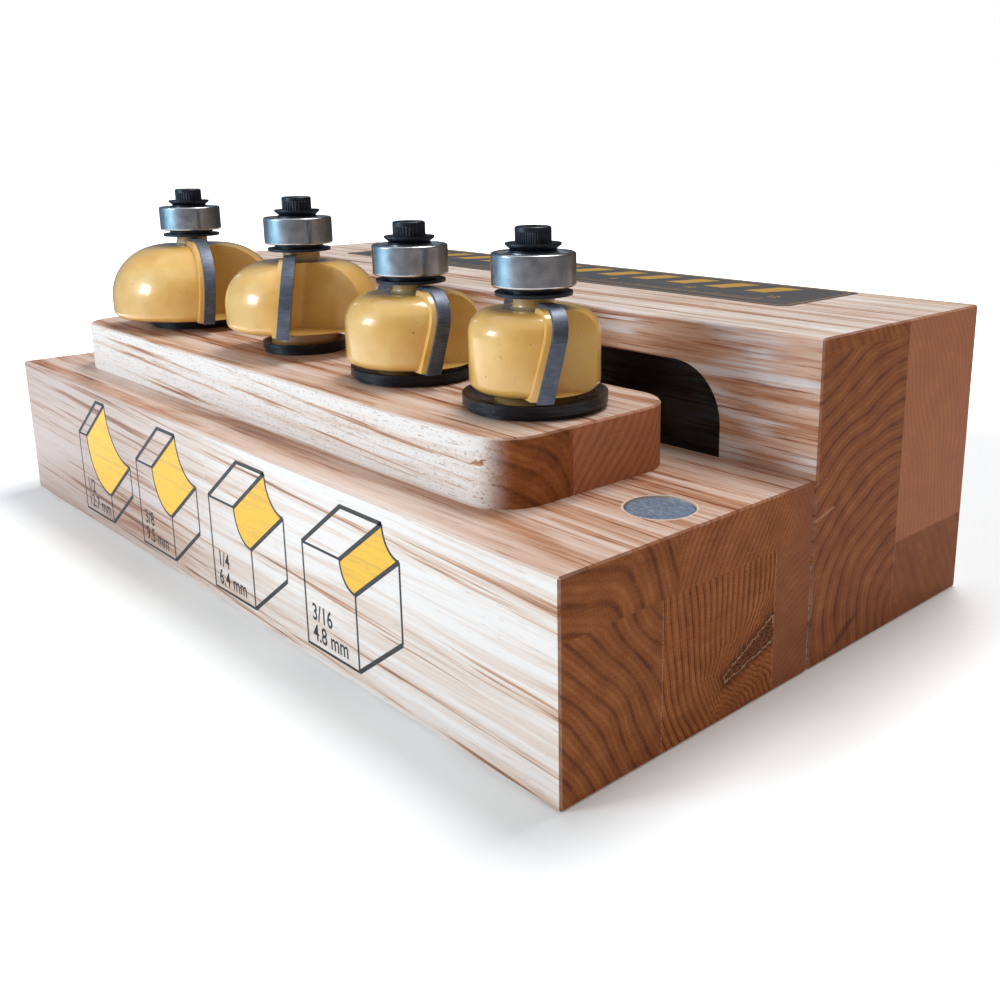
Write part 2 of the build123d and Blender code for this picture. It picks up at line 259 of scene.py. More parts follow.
# ---- wood: both blocks are glued up from staves ----
# A stave has limits in millimetres, the heart (y, z) that its rings go round, their spacing, and how
# light its end is, how strong its rings are and how pinkish it is. A later stave covers earlier ones.
Stave = namedtuple("Stave", "limits heart spacing tone contrast pink")
Grain = namedtuple("Grain", "ring fibre streak line pores look")
FRONT_JOINT_Y = -7.7
BACK_JOINT_Y = 17.0
UPPER_FRONT_JOINT_Y = -4.6
PLATFORM_JOINT_Y = -4.0
UPPER_BACK_JOINT_Y = 20.7
LAYER_JOINT_Z = 22.5
BUTT_JOINT_X = 0.3
UPPER = ("z", ">", LAYER_JOINT_Z)
BASE_STAVES = [
    Stave((), (-44.0, -6.0), 2.7, 0.98, 0.75, 0.10),
    Stave((("y", ">", FRONT_JOINT_Y),), (52.0, 24.0), 1.15, 1.04, 1.0, 0.0),
    Stave((("y", ">", BACK_JOINT_Y),), (46.0, -44.0), 1.15, 1.0, 0.35, 0.45),
    Stave((UPPER,), (-24.0, 17.0), 3.6, 0.96, 0.70, 0.05),
    Stave((UPPER, ("x", "<", BUTT_JOINT_X)), (-20.0, 64.0), 3.1, 0.96, 0.70, 0.10),
    Stave((UPPER, ("y", ">", UPPER_FRONT_JOINT_Y)), (59.0, 0.0), 0.95, 1.10, 0.60, 0.15),
    Stave((("z", ">", BASE_TOP), ("y", ">", PLATFORM_JOINT_Y)), (59.0, 0.0), 1.5, 1.45, 1.0, 0.85),
    Stave((UPPER, ("y", ">", UPPER_BACK_JOINT_Y)), (-29.0, 2.0), 1.2, 1.05, 0.3, 0.4),
]
BASE_SLOPE = 0.035
BASE_FINENESS = 1.0
LID_JOINT_Y = 51.0
LID_JOINT_Z = 14.6
LID_SKIN_Z = 50.0
LID_STAVES = [
    Stave((), (52.0, 4.0), 3.0, 0.98, 0.75, 0.25),
    Stave((("z", ">", LID_SKIN_Z),), (-8.0, 20.0), 1.7, 1.05, 0.6, 0.2),
    Stave((("y", ">", LID_JOINT_Y),), (-60.0, 2.0), 1.3, 1.50, 0.50, 0.95),
    Stave((("y", ">", LID_JOINT_Y), ("z", "<", LID_JOINT_Z)), (140.0, 60.0), 2.4, 1.0, 0.3, 0.45),
]
LID_SLOPE = 0.0
LID_FINENESS = 1.6
# Glue that shows: a joint's y, and how far up it shows.
BASE_GLUE = ((FRONT_JOINT_Y, LAYER_JOINT_Z), (BACK_JOINT_Y, LAYER_JOINT_Z))
LID_GLUE = ((LID_JOINT_Y, LID_JOINT_Z),)
END_DARK = srgb(88, 42, 17)
END_MIDDLE = srgb(148, 84, 42)
END_LIGHT = srgb(190, 122, 70)
END_PINK = srgb(150, 102, 82)
GLUE = srgb(190, 150, 118)
LONG_STREAK = srgb(136, 84, 58)
LONG_TAN = srgb(192, 145, 112)
LONG_PALE = srgb(226, 207, 194)
LONG_WHITE = srgb(244, 240, 238)
LONG_WARM = srgb(214, 158, 112)
PORE = srgb(120, 74, 50)
FIBRE_RATES = (0.035, 1.5, 1.5)


def pick_stave(f, place, staves):
    """Heart and ring spacing as one vector, and end tone, contrast and pinkness as another."""
    along = dict(zip("xyz", place))
    rings = (*staves[0].heart, staves[0].spacing)
    look = (staves[0].tone, staves[0].contrast, staves[0].pink)
    for stave in staves[1:]:
        tests = [f.above(along[axis], edge) if sign == ">" else f.below(along[axis], edge)
                 for axis, sign, edge in stave.limits]
        inside = f.times(*tests)
        rings = f.choose(inside, (*stave.heart, stave.spacing), rings)
        look = f.choose(inside, (stave.tone, stave.contrast, stave.pink), look)
    return f.split(rings), f.split(look)


def ring_shade(f, place, rings, knot_push):
    """Shade of the yearly rings, darkest in the late wood, with finer lines between."""
    x, y, z = place
    warp = f.split(f.noise(place, (0.011, 0.040, 0.040), detail=1.0, output=1))
    bend, lean = 9.0, 0.012
    across = f.add(y, f.swing(warp[0], bend), f.times(rings[0], -1.0))
    up = f.add(z, f.swing(warp[1], bend), f.times(x, lean), f.times(rings[1], -1.0))
    phase = f.math("DIVIDE", f.length(across, up), rings[2])
    if knot_push is not None:
        phase = f.add(phase, knot_push)
    wobble = f.noise(place, (0.02, 0.08, 0.08), detail=1.0)
    phase = f.add(phase, f.times(wobble, 1.1))
    broad = f.ramp(f.math("FRACT", phase), (0.0, 0.60), (0.30, 0.80), (0.62, 0.52),
                   (0.82, 0.16), (0.93, 0.36), (1.0, 0.60))
    narrow = f.add(0.5, f.times(f.math("SINE", f.times(phase, 19.0)), 0.5))
    strength = f.fade(f.noise(place, (0.03, 0.3, 0.3)), 0.3, 0.65, 0.45, 1.0)
    return f.add(0.55, f.times(f.add(broad, f.times(narrow, 0.22), -0.66), strength))


def grain(f, place, staves, slope, fineness, knot_push=None):
    """What the wood shows at a place: rings, fibres, streaks, fine lines, pores and stave."""
    x, y, z = place
    rings, look = pick_stave(f, place, staves)
    ring = ring_shade(f, place, rings, knot_push)
    fibre = f.noise(place, FIBRE_RATES, detail=4.0, roughness=0.6)
    pores = f.fade(f.noise(place, (0.30, 4.5, 4.5)), 0.63, 0.74)
    sloped = (x, y, f.add(z, f.times(x, slope)))
    streak = f.noise(sloped, (0.007, 0.33, 0.33), detail=5.0, roughness=0.62)
    line_rates = (0.014 * fineness, 0.85 * fineness, 0.85 * fineness)
    thread = f.noise(sloped, line_rates, detail=3.0, roughness=0.7)
    line = f.times(f.fade(thread, 0.55, 0.63), f.fade(streak, 0.42, 0.60, 1.0, 0.25))
    return Grain(ring, fibre, streak, line, pores, look)


def end_mask(f):
    """How far a surface cuts across the grain, 1 on the ends, and the surface's normal."""
    normal = f.split(f.coordinates("Normal"))
    return f.fade(f.size(normal[0]), 0.30, 0.85), normal


def end_color(f, place, wood, glue_lines):
    """Colour of the end grain with its glue lines, and the fine specks in it."""
    tone, contrast, pink = wood.look
    soft = f.noise(place, (1.0, 0.22, 0.22))
    speck = f.noise(place, (1.0, 3.6, 3.6), detail=3.0, roughness=0.65)
    sawn = f.noise(place, (0.0, 0.12, 3.2))
    shade = f.add(0.46, f.times(f.add(wood.ring, -0.55), contrast), f.swing(soft, 0.6),
                  f.swing(speck, 0.85), f.swing(sawn, 0.28))
    color = f.ramp(shade, (0.0, END_DARK), (0.5, END_MIDDLE), (1.0, END_LIGHT))
    color = f.mix(f.times(pink, 0.6), color, END_PINK)
    color = f.scaled(color, tone)
    for joint, reach in glue_lines:
        near = f.fade(f.size(f.add(place[1], -joint)), 0.03, 0.16, 1.0, 0.0)
        near = f.times(near, f.between(place[2], 0.0, reach), f.fade(speck, 0.35, 0.6))
        color = f.mix(f.times(near, 0.6), color, GLUE)
    return color, speck


def long_color(f, wood, pores, lift, warm):
    """Colour along the grain; lift makes it paler and warm more orange."""
    shade = f.add(f.times(wood.ring, 0.26), f.times(wood.fibre, 0.62), f.swing(wood.streak, 1.15),
                  f.times(wood.line, -0.42), lift)
    color = f.ramp(shade, (0.10, LONG_STREAK), (0.36, LONG_TAN), (0.58, LONG_PALE),
                   (0.85, LONG_WHITE))
    color = f.mix(warm, color, LONG_WARM, blend="MULTIPLY")
    return f.mix(f.times(pores, 0.55), color, PORE)


def wood_finish(f, color, ends, fibre, pores, speck):
    """Surface of lacquered wood: satin along the grain, duller on the ends."""
    rough = f.add(0.34, f.times(fibre, 0.16), f.times(pores, 0.2), f.times(ends, 0.26))
    gloss = f.add(0.42, f.times(ends, -0.26))
    height = f.add(f.times(fibre, 0.6), f.times(pores, -0.8), f.times(speck, f.times(ends, 0.6)))
    f.set(Base_Color=color, Roughness=rough, Specular_IOR_Level=gloss)
    f.bump(height, 0.10, 0.6)


# ---- the knot: a wedge in the right end, from its tip up to the stave's joint ----
KNOT_TIP = (5.6, 6.2)
KNOT_TURN_DEG = 21.0
KNOT_LENGTH = 12.4
KNOT_HALF_WIDTH = 0.55
KNOT_WIDENING = 0.115
KNOT_RAGGEDNESS = 1.7
KNOT_FROM_X = 70.0
KNOT_BARK = srgb(52, 25, 12)
KNOT_HEART = srgb(128, 74, 38)
KNOT_HALO = srgb(70, 36, 18)
KNOT_RIM = srgb(186, 150, 112)


def knot_distance(f, place):
    """Distance outside the knot's ragged edge, negative inside."""
    cosine, sine = math.cos(math.radians(KNOT_TURN_DEG)), math.sin(math.radians(KNOT_TURN_DEG))
    y = f.add(place[1], -KNOT_TIP[0])
    z = f.add(place[2], -KNOT_TIP[1])
    along = f.add(f.times(y, cosine), f.times(z, sine))
    across = f.add(f.times(z, cosine), f.times(y, -sine))
    half_width = f.add(KNOT_HALF_WIDTH, f.times(along, KNOT_WIDENING))
    side = f.add(f.size(across), f.times(half_width, -1.0))
    before = f.times(along, -1.0)
    beyond = f.add(along, -KNOT_LENGTH)
    outside = f.math("MAXIMUM", f.math("MAXIMUM", side, before), beyond)
    ragged = f.noise((4.0, y, z), (1.0, 0.9, 0.9), detail=3.0, roughness=0.6)
    return f.add(outside, f.swing(ragged, KNOT_RAGGEDNESS))


def knot_color(f, place, outside, in_stave, end, speck):
    """The end grain with the knot's dark halo, its core and its pale rim."""
    halo = f.times(f.fade(outside, 0.1, 1.6, 0.75, 0.0), in_stave)
    core = f.times(f.fade(outside, -0.35, -0.15, 1.0, 0.0), in_stave)
    rim = f.times(f.fade(f.size(f.add(outside, 0.05)), 0.04, 0.20, 1.0, 0.0), in_stave)
    layers = f.noise((1.0, place[1], place[2]), (1.0, 1.6, 3.0))
    end = f.mix(halo, end, KNOT_HALO)
    end = f.mix(core, end, f.ramp(layers, (0.35, KNOT_BARK), (0.6, KNOT_HEART)))
    return f.mix(f.times(rim, f.fade(speck, 0.38, 0.52)), end, KNOT_RIM)


# ---- the base's wood ----
CHIPPED_TO = 4.95
CHIP_COLOR = srgb(225, 205, 190)
LEFT_SHADE = srgb(204, 189, 186)
LEFT_FROM_X, LEFT_BY_X = 35.0, -60.0


def chipped_ring(f, place):
    """Where the wood is pale and chipped round the right magnet's pocket."""
    x, y, z = place
    from_axis = f.length(f.add(x, -MAGNET_X), f.add(y, -ROW_Y))
    ragged = f.times(f.noise((x, y, 0.0), scale=1.6, detail=3.0), -0.9)
    ring = f.fade(f.add(from_axis, ragged), CHIPPED_TO - 0.1, CHIPPED_TO + 0.1, 1.0, 0.0)
    return f.times(ring, f.below(z, BASE_TOP + 0.1), 0.85)


def make_base_wood():
    f = Finish("edge_glued_wood_base")
    place = f.position()
    x, y, z = place
    outside = knot_distance(f, place)
    in_stave = f.times(f.between(y, FRONT_JOINT_Y, BACK_JOINT_Y), f.below(z, LAYER_JOINT_Z),
                       f.above(x, KNOT_FROM_X))
    push = f.times(f.fade(outside, 0.0, 5.0, 1.0, 0.0), in_stave, -3.0)
    wood = grain(f, place, BASE_STAVES, BASE_SLOPE, BASE_FINENESS, push)
    ends, normal = end_mask(f)
    end, speck = end_color(f, place, wood, BASE_GLUE)
    end = knot_color(f, place, outside, in_stave, end, speck)

    front = f.fade(normal[1], -0.9, -0.4, 1.0, 0.0)
    top = f.fade(normal[2], 0.4, 0.9)
    raised = f.above(z, BASE_TOP + 0.4)
    cloud = f.noise(place, (0.02, 0.09, 0.09))
    # Painted sheen and shade by facing: front faces are made paler, the platform's front most, standing
    # in for the window's sheen on them, and tops are made a little darker.
    lift = f.add(0.12, f.times(front, f.add(0.16, f.times(raised, 0.14))), f.times(top, -0.04),
                 f.swing(cloud, 0.42))
    worn = f.times(front, raised)
    pits = f.fade(f.noise(place, (1.4, 3.0, 3.6), detail=3.0), 0.60, 0.68)
    pores = f.math("MAXIMUM", f.times(wood.pores, f.add(0.45, f.times(worn, 0.55))),
                   f.times(worn, pits, 0.8))
    # Tops are made warmer and more tan than the fronts, the other side of the same painted difference
    # by facing.
    along_grain = long_color(f, wood, pores, lift, f.times(top, 0.35))
    far_left = f.times(f.fade(x, LEFT_FROM_X, LEFT_BY_X), front, f.below(z, BASE_TOP + 0.1))
    along_grain = f.mix(far_left, along_grain, LEFT_SHADE, blend="MULTIPLY")

    color = f.mix(ends, along_grain, end)
    color = f.mix(chipped_ring(f, place), color, CHIP_COLOR)
    wood_finish(f, color, ends, wood.fibre, pores, speck)
    return f.material


# ---- the lid's wood ----
SCAR_SLOPE = 0.25
SCAR_Z = 18.6
SCAR_TO_Y = 31.5
SCAR_COLOR = srgb(196, 150, 118)
STAIN_SLOPE = 0.55
STAIN_Z = -16.6
STAIN_Y = 36.5
STAIN_COLOR = srgb(52, 26, 12)
# Painted sheen on the lid's front faces.
PAINTED_SHEEN_COLOR = srgb(232, 232, 238)
# Painted shade for the inside of the lid's hollow.
HOLLOW_SHADE_COLOR = srgb(22, 13, 11)


def mark_lid_end(f, place, end, speck):
    """The lid's end grain with its pale scar of glue and its dark stain."""
    y, z = place[1], place[2]
    from_scar = f.size(f.add(z, f.times(y, -SCAR_SLOPE), f.times(speck, 1.6), -SCAR_Z))
    scar = f.times(f.fade(from_scar, 0.10, 0.32, 1.0, 0.0), f.below(y, SCAR_TO_Y))
    end = f.mix(f.times(scar, 0.7), end, SCAR_COLOR)
    from_stain = f.add(f.size(f.add(z, f.times(y, -STAIN_SLOPE), -STAIN_Z)),
                       f.times(f.size(f.add(y, -STAIN_Y)), 0.25))
    return f.mix(f.times(f.fade(from_stain, 0.3, 1.7, 1.0, 0.0), 0.6), end, STAIN_COLOR)


def make_lid_wood():
    f = Finish("edge_glued_wood_lid")
    place = f.position()
    x, y, z = place
    wood = grain(f, place, LID_STAVES, LID_SLOPE, LID_FINENESS)
    ends, normal = end_mask(f)
    end, speck = end_color(f, place, wood, LID_GLUE)
    end = mark_lid_end(f, place, end, speck)

    front = f.fade(normal[1], -0.9, -0.4, 1.0, 0.0)
    stripes = f.noise(place, (0.022, 0.0, 0.42), detail=3.0, roughness=0.65)
    lift = f.add(0.14, f.times(front, -0.02), f.swing(stripes, f.add(0.35, front)))
    along_grain = long_color(f, wood, wood.pores, lift, f.times(front, 0.60))
    # Painted sheen: pale patches along the fibres of the front faces stand in for the window's
    # reflection in the lacquer.
    sheen_noise = f.noise(place, (0.035, 0.0, 0.16))
    painted_sheen = f.times(front, f.fade(sheen_noise, 0.47, 0.60), f.fade(wood.fibre, 0.40, 0.56))
    along_grain = f.mix(f.times(painted_sheen, 0.85), along_grain, PAINTED_SHEEN_COLOR)

    color = f.mix(ends, along_grain, end)
    # Painted shade: the inside of the lid's hollow is darkened nearly to black, where shade falls in
    # the recess.
    hollow_shade = f.times(f.between(x, *HOLLOW_X), f.between(y, *HOLLOW_Y), f.between(z, *HOLLOW_Z))
    color = f.mix(f.times(hollow_shade, 0.86), color, HOLLOW_SHADE_COLOR)
    wood_finish(f, color, ends, wood.fibre, wood.pores, speck)
    return f.material


# ---- metals and plastics ----
FIRST_SCREW_RIBS = 48
OTHER_SCREW_RIBS = 30


def around_axis(f, place, n):
    """Distance from a bit's axis and angle about it, in millimetres and radians."""
    across, back = f.add(place[0], -BIT_X[n - 1]), f.add(place[1], -ROW_Y)
    return f.length(across, back), f.math("ARCTAN2", back, across)


def make_coated_steel(n):
    """Pale yellow coating with small specks, a bare ring at the foot of the neck, and painted shade on
    the shank below the head.
    """
    f = Finish(f"yellow_coated_steel_{n}")
    place = f.position()
    z = place[2]
    low, high = [corner.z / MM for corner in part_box(f"bit{n}_carbide_cutters")]
    cloud = f.noise(place, scale=0.16, detail=3.0)
    color = f.ramp(cloud, (0.3, srgb(230, 178, 90)), (0.5, srgb(238, 190, 103)),
                   (0.72, srgb(245, 204, 124)))
    speck = f.fade(f.noise(place, scale=1.7), 0.735, 0.76)
    color = f.mix(f.times(speck, 0.8), color, srgb(70, 50, 35))
    radius, _ = around_axis(f, place, n)
    ragged = f.add(radius, f.times(f.noise(place, scale=0.8), -1.2))
    bare = f.times(f.fade(ragged, 3.9, 4.6, 1.0, 0.0), f.above(z, high - 1.9),
                   f.fade(z, high - 0.9, high - 0.4, 1.0, 0.0))
    color = f.mix(f.times(bare, 0.7), color, srgb(150, 148, 132))
    neck = f.above(z, high - 0.6)
    color = f.mix(f.times(neck, 0.6), color, srgb(190, 148, 82))
    # Painted shade: the shank just below the cutter head is darkened where the head shades it.
    shank_shade = f.below(z, low + 0.25)
    color = f.mix(f.times(shank_shade, 0.65), color, srgb(120, 92, 58))
    f.set(Base_Color=color, Roughness=f.add(0.24, f.times(cloud, 0.14)), Coat_Weight=1.0,
          Coat_Roughness=0.10, Specular_IOR_Level=0.3)
    f.bump(f.noise(place, scale=0.9), 0.05, 0.35)
    return f.material


def make_carbide(n):
    """Ground carbide, with fine grinding lines along the edge."""
    f = Finish(f"carbide_{n}")
    place = f.position()
    lines = f.noise(place, (0.4, 0.4, 6.0), detail=3.0)
    blotch = f.noise(place, scale=0.5, detail=3.0)
    shade = f.add(f.times(lines, 0.5), f.times(blotch, 0.5))
    color = f.ramp(shade, (0.3, srgb(70, 77, 90)), (0.5, srgb(88, 96, 111)),
                   (0.7, srgb(112, 121, 137)))
    f.set(Base_Color=color, Metallic=0.55, Roughness=f.add(0.30, f.times(lines, 0.22)))
    f.bump(lines, 0.03, 0.5)
    return f.material


def make_bearing_steel(name, light, rough, streak):
    """Turned and polished steel, with fine lines about its axis."""
    f = Finish(name)
    place = f.position()
    lines = f.noise(place, (0.0, 0.0, 9.0), detail=3.0)
    cloud = f.noise(place, scale=0.5, detail=3.0)
    dark = tuple(part * 0.72 for part in light)
    share = f.fade(f.add(f.times(lines, streak), f.times(cloud, 1 - streak)), 0.3, 0.7)
    f.set(Base_Color=f.mix(share, dark, light), Metallic=1.0,
          Roughness=f.add(rough, f.times(cloud, 0.10)))
    f.bump(lines, 0.01, 0.4)
    return f.material


def screw_ribs(f, place, n, ribs):
    """Upright ribs about the side of a screw's head, below its rounded rim."""
    _, angle = around_axis(f, place, n)
    head_top = SCREW_BOXES[n - 1][1].z
    normal = f.split(f.coordinates("Normal"))
    on_side = f.times(f.below(f.size(normal[2]), 0.3),
                      f.fade(place[2], head_top - 0.95, head_top - 0.65, 1.0, 0.0))
    return f.times(f.size(f.math("SINE", f.times(angle, ribs / 2))), on_side, 3.0)


def make_black_steel(n, ribs):
    """Black-oxide steel; a screw's head carries upright ribs."""
    f = Finish(f"black_steel_{n}" + ("_ribbed" if ribs else ""))
    place = f.position()
    cloud = f.noise(place, scale=1.1, detail=3.0)
    color = f.ramp(cloud, (0.3, srgb(13, 17, 25)), (0.7, srgb(30, 38, 52)))
    speck = f.fade(f.noise(place, scale=2.6, detail=1.0), 0.74, 0.78)
    color = f.mix(f.times(speck, 0.5), color, srgb(110, 115, 125))
    f.set(Base_Color=color, Metallic=0.35, Roughness=f.add(0.27, f.times(cloud, 0.16)))
    height = f.times(cloud, 0.25)
    if ribs:
        height = f.add(height, screw_ribs(f, place, n, ribs))
    f.bump(height, 0.06, 0.8)
    return f.material


def make_black_plastic():
    """Satin black plastic with fine level lines and a few pale specks."""
    f = Finish("black_plastic")
    place = f.position()
    layers = f.noise(place, (0.1, 0.1, 7.0))
    speck = f.fade(f.noise(place, scale=2.2), 0.72, 0.76)
    color = f.ramp(layers, (0.3, srgb(9, 10, 14)), (0.7, srgb(22, 25, 32)))
    color = f.mix(f.times(speck, 0.6), color, srgb(120, 130, 140))
    f.set(Base_Color=color, Roughness=f.add(0.22, f.times(layers, 0.15)),
          Specular_IOR_Level=0.3)
    f.bump(layers, 0.12, 0.7)
    return f.material


def make_magnet_metal():
    """Scratched, mottled plating."""
    f = Finish("nickel_magnet")
    place = f.position()
    mottle = f.noise(place, scale=1.5, detail=5.0, roughness=0.7)
    scratch = f.fade(f.noise(place, (0.5, 5.0, 5.0), detail=3.0), 0.56, 0.68)
    color = f.ramp(mottle, (0.3, srgb(76, 92, 110)), (0.55, srgb(116, 134, 156)),
                   (0.75, srgb(158, 172, 190)))
    color = f.mix(f.times(scratch, 0.5), color, srgb(186, 190, 198))
    f.set(Base_Color=color, Metallic=0.45, Roughness=f.add(0.38, f.times(mottle, 0.2)))
    f.bump(f.add(mottle, f.times(scratch, -0.4)), 0.05, 0.7)
    return f.material


def paint(node, material):
    mesh = NODES[node].data
    mesh.materials.clear()
    mesh.materials.append(material)


def finish_nodes():
    """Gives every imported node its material."""
    base_wood, lid_wood = make_base_wood(), make_lid_wood()
    magnet, plastic = make_magnet_metal(), make_black_plastic()
    ring_steel = make_bearing_steel("bearing_steel", (0.52, 0.53, 0.55), 0.18, 0.5)
    shield = make_bearing_steel("shield_steel", (0.42, 0.43, 0.45), 0.34, 0.2)
    ball_steel = make_bearing_steel("polished_steel", (0.80, 0.80, 0.82), 0.06, 0.2)
    paint("base_block", base_wood)
    paint("lid_block", lid_wood)
    for node in ("base_magnet_left", "base_magnet_right", "lid_magnet_left", "lid_magnet_right"):
        paint(node, magnet)
    for n in BITS:
        bit = f"bit{n}"
        black = make_black_steel(n, 0)
        paint(f"{bit}_bushing", plastic)
        paint(f"{bit}_body", make_coated_steel(n))
        paint(f"{bit}_carbide_cutters", make_carbide(n))
        paint(f"{bit}_lower_washer", black)
        paint(f"{bit}_upper_washer", black)
        ribs = FIRST_SCREW_RIBS if n == 1 else OTHER_SCREW_RIBS
        paint(f"{bit}_cap_screw", make_black_steel(n, ribs))
        paint(f"{bit}_bearing_inner_ring", ring_steel)
        paint(f"{bit}_bearing_outer_ring", ring_steel)
        paint(f"{bit}_bearing_shields", shield)
        paint(f"{bit}_bearing_cage", shield)
        paint(f"{bit}_bearing_balls", ball_steel)


# ---- printed ink: flat shapes just clear of the wood, in layers ----
INK_GAP = 0.015
INK_LAYERS = 3
BARE_WOOD = srgb(150, 118, 92)


def make_ink(name, color, grain_show, rough):
    """Thin ink that lets the wood's fibres show a little."""
    f = Finish(name)
    place = f.position()
    fibre = f.noise(place, FIBRE_RATES, detail=4.0, roughness=0.6)
    wear = f.noise(place, (0.5, 3.0, 3.0), detail=3.0)
    thin = f.add(f.times(f.fade(fibre, 0.55, 0.3), grain_show),
                 f.times(f.fade(wear, 0.6, 0.75), grain_show))
    f.set(Base_Color=f.mix(thin, color, BARE_WOOD), Roughness=f.add(rough, f.times(fibre, 0.15)))
    f.bump(fibre, 0.06, 0.5)
    return f.material


def piece(name, mesh, material, body):
    """Adds a mesh as one named piece that rides on a body."""
    thing = add_object(name, mesh)
    mesh.materials.append(material)
    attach(thing, body)


def on_front(u, v, layer):
    """Point just off the base's front, u to the right and v up."""
    return Vector((u, BASE_FRONT - INK_GAP * (layer + 1) / INK_LAYERS, v))


def on_lid(u, v, layer):
    """Point just off the lid's upper side, u to the right and v backward."""
    return Vector((u, v, LID_HIGH.z + INK_GAP * (layer + 1) / INK_LAYERS))


def flat_mesh(name, faces, place):
    """Mesh of flat faces, each (layer, outline); place turns (u, v, layer) into millimetres."""
    shape = bmesh.new()
    for layer, outline in faces:
        shape.faces.new([shape.verts.new(place(u, v, layer) * MM) for u, v in outline])
    mesh = bpy.data.meshes.new(name)
    shape.to_mesh(mesh)
    shape.free()
    return mesh


def stroke(points, width):
    """Quads along a polyline, mitred at its corners."""
    points = [Vector(point) for point in points]
    rims = []
    for i, point in enumerate(points):
        before = (point - points[i - 1]).normalized() if i else None
        after = (points[i + 1] - point).normalized() if i + 1 < len(points) else None
        before = before or after
        after = after or before
        sides = [Vector((-way.y, way.x)) for way in (before, after)]
        middle = (sides[0] + sides[1]).normalized()
        reach = width / 2 / max(middle.dot(sides[0]), 0.3)
        rims.append((point + middle * reach, point - middle * reach))
    return [[a[0], a[1], b[1], b[0]] for a, b in zip(rims, rims[1:])]


def written(name, text, height, left, low, place):
    """Mesh of a line of figures, its lower left corner at (left, low)."""
    capital_share, boldness, squeeze = 0.70, 0.02, 0.84
    curve = bpy.data.curves.new(name, "FONT")
    curve.body = text
    curve.size = height / capital_share
    curve.offset = height * boldness
    source = add_object(name, curve)
    bpy.context.view_layer.update()
    shown = source.evaluated_get(bpy.context.evaluated_depsgraph_get())
    mesh = bpy.data.meshes.new_from_object(shown)
    bpy.data.objects.remove(source)
    bpy.data.curves.remove(curve)
    for vertex in mesh.vertices:
        vertex.co = place(left + vertex.co.x * squeeze, low + vertex.co.y, INK_LAYERS - 1) * MM
    mesh.name = name
    return mesh


# ---- printed cutter profiles on the base's front: a block with a cove along one edge ----
PROFILE_LEFT = (33.1, 1.0, -30.4, -60.5)
PROFILE_BOTTOM = 2.6
PROFILE_TOP = 19.7
PROFILE_WIDTH = 14.7
PROFILE_DEPTH = (11.8, 8.6)
COVE_ACROSS = (3.9, 5.3, 7.2, 10.4)
COVE_DOWN = (4.6, 6.3, 8.3, 11.1)
COVE_STEPS = 14
THICK_LINE = 0.72
THIN_LINE = 0.46
SIZES_INCH = ("3/16", "1/4", "3/8", "1/2")
SIZES_MM = ("4.8 mm", "6.4 mm", "9.5 mm", "12.7 mm")
SIZE_HEIGHT = 2.8
SIZE_INDENT = 1.7
INCH_LINE = 7.2
MM_LINE = 3.7


def make_profile(index, ink, cove_ink):
    """Picture of one cutter's profile on the base's front, with its size in figures."""
    left, right = PROFILE_LEFT[index], PROFILE_LEFT[index] + PROFILE_WIDTH
    low, high = PROFILE_BOTTOM, PROFILE_TOP
    shift = Vector(PROFILE_DEPTH)
    angles = [math.pi / 2 * step / COVE_STEPS for step in range(COVE_STEPS + 1)]
    near_arc = [Vector((right - COVE_ACROSS[index] * math.cos(angle),
                        high - COVE_DOWN[index] * math.sin(angle))) for angle in angles]
    far_arc = [point + shift for point in near_arc]
    corner_low = Vector((right, low))
    thick = [[(left, high), Vector((left, high)) + shift, far_arc[0]],
             [near_arc[0], far_arc[0]], [near_arc[-1], far_arc[-1]],
             [corner_low, corner_low + shift]]
    thin = [near_arc, far_arc, [near_arc[-1], corner_low], [far_arc[-1], corner_low + shift],
            [near_arc[0], (left, high), (left, low), corner_low]]
    lines = [(1, quad) for path in thin for quad in stroke(path, THIN_LINE)]
    lines += [(2, quad) for path in thick for quad in stroke(path, THICK_LINE)]
    name = f"bit{index + 1}_profile"
    piece(f"{name}_lines", flat_mesh(name, lines, on_front), ink, "base")
    cove = [(0, [a, b, d, c]) for a, b, c, d in zip(near_arc, near_arc[1:], far_arc, far_arc[1:])]
    piece(f"{name}_cove", flat_mesh(name, cove, on_front), cove_ink, "base")
    for part, text, line in (("inch", SIZES_INCH[index], INCH_LINE), ("mm", SIZES_MM[index], MM_LINE)):
        figures = written(f"{name}_{part}", text, SIZE_HEIGHT, left + SIZE_INDENT, line, on_front)
        piece(f"{name}_{part}", figures, ink, "base")


# ---- printed panel on the lid: a dark field with a border, a ruler's marks and plain bars ----
PANEL_HALF_LENGTH = 69.7
PANEL_Y = (48.4, 73.2)
PANEL_CORNER = 2.0
CORNER_STEPS = 6
PANEL_BORDER = 1.2
BORDER_LINE = 0.3
RULER_HALF = 60
RULER_Y = 52.2
RULER_LINE = 0.22
TENTH_MARK, FIFTH_MARK, UNIT_MARK = 3.2, 2.3, 1.4
FIGURE_HEIGHT = 2.2
FIGURE_LEFT = -60.8
FIGURE_Y = 56.6
BAR_SPACING = 10
BAR_Y = (61.2, 69.6)
BAR_WIDTH = 5.0
BAR_LEAN = 3.0


def panel_outline(inset):
    """Rounded rectangle of the panel, set in from its edge."""
    radius = PANEL_CORNER
    right, left = PANEL_HALF_LENGTH - inset - radius, -PANEL_HALF_LENGTH + inset + radius
    near, far = PANEL_Y[0] + inset + radius, PANEL_Y[1] - inset - radius
    points = []
    for x, y, start in ((right, far, 0), (left, far, 90), (left, near, 180), (right, near, 270)):
        for step in range(CORNER_STEPS + 1):
            angle = math.radians(start + 90 * step / CORNER_STEPS)
            points.append(Vector((x + radius * math.cos(angle), y + radius * math.sin(angle))))
    return points


